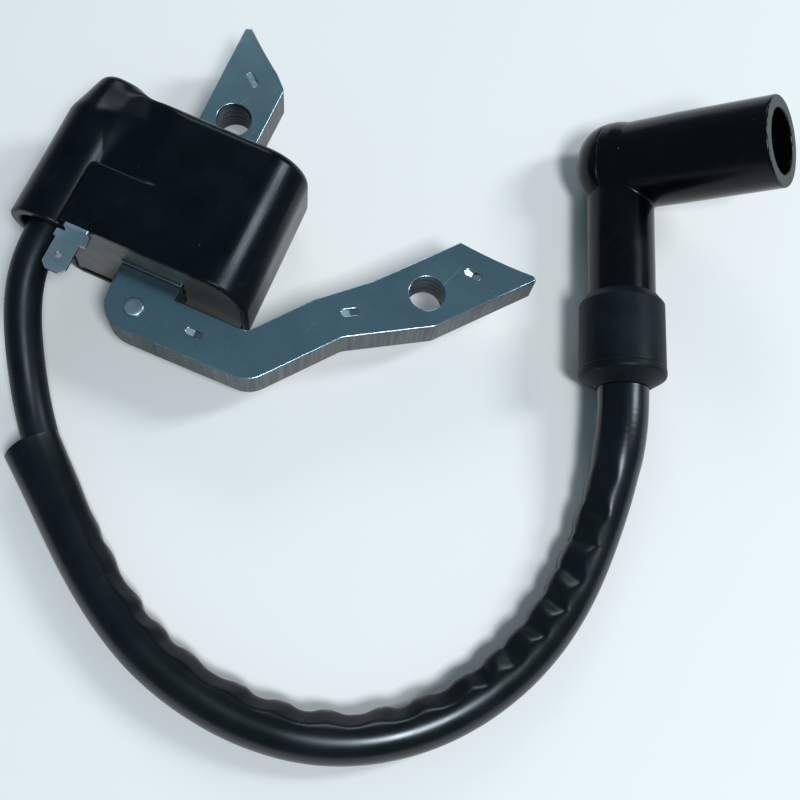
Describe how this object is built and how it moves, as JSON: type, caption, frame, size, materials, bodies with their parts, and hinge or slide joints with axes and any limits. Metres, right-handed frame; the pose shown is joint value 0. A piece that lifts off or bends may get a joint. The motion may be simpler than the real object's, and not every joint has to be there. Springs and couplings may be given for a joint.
{
  "type": "ignition coil",
  "caption": "Small-engine ignition coil: laminated C core with pointed pole shoes, potted coil case, sleeved high-tension lead and elbow spark plug cap.",
  "frame": {"origin": "midway between the two mounting holes, on the core's mounting face", "axes": "+X from the coil leg's hole to the arm's hole, +Y towards the flywheel, +Z out of the lamination stack"},
  "size_m": [0.1413, 0.1636, 0.0375],
  "materials": {
    "core_steel": "ground",
    "rivet_steel": "smooth",
    "case_plastic": "satin",
    "resin": "cast",
    "bobbin_plastic": "moulded",
    "copper": "enamelled",
    "tape": "film",
    "board": "laminate",
    "component": "moulded",
    "tinned_steel": "tinned",
    "wire_jacket": "extruded",
    "brass": "stamped",
    "lead_rubber": "smooth",
    "sleeve_rubber": "soft satin",
    "boot_rubber": "matte",
    "cap_phenolic": "moulded gloss",
    "spring_steel": "wire",
    "ceramic": "glazed"
  },
  "bodies": {
    "coil": {"leg_laminations": "core_steel", "arm_laminations": "core_steel", "core_rivet": "rivet_steel", "coil_case": "case_plastic", "potting_resin": "resin", "primary_bobbin": "bobbin_plastic", "primary_winding": "copper", "winding_insulation": "tape", "secondary_bobbin": "bobbin_plastic", "secondary_winding": "copper", "igniter_board": "board", "power_transistor": "component", "board_resistors": "component", "board_capacitor": "component", "kill_terminal": "tinned_steel", "kill_wire": "wire_jacket", "ground_strap": "brass", "tower_pin": "brass", "tower_strip": "brass", "lead_conductor": "copper", "lead_insulation": "lead_rubber", "lead_sleeve": "sleeve_rubber", "lead_boot": "boot_rubber"},
    "cap": {"cap_shell": "cap_phenolic", "cap_rear_cover": "cap_phenolic", "lead_screw": "brass", "contact_spring": "spring_steel", "suppressor_resistor": "ceramic", "resistor_end_caps": "brass", "plug_socket": "brass", "socket_clip": "spring_steel"}
  },
  "joints": [
    {"name": "cap_swivel", "type": "hinge", "parent": "coil", "child": "cap", "pos_m": [0.0346, 0.052, 0.0009], "axis": [-0.6508, 0.7593, 0], "range_deg": [-90, 90]}
  ]
}
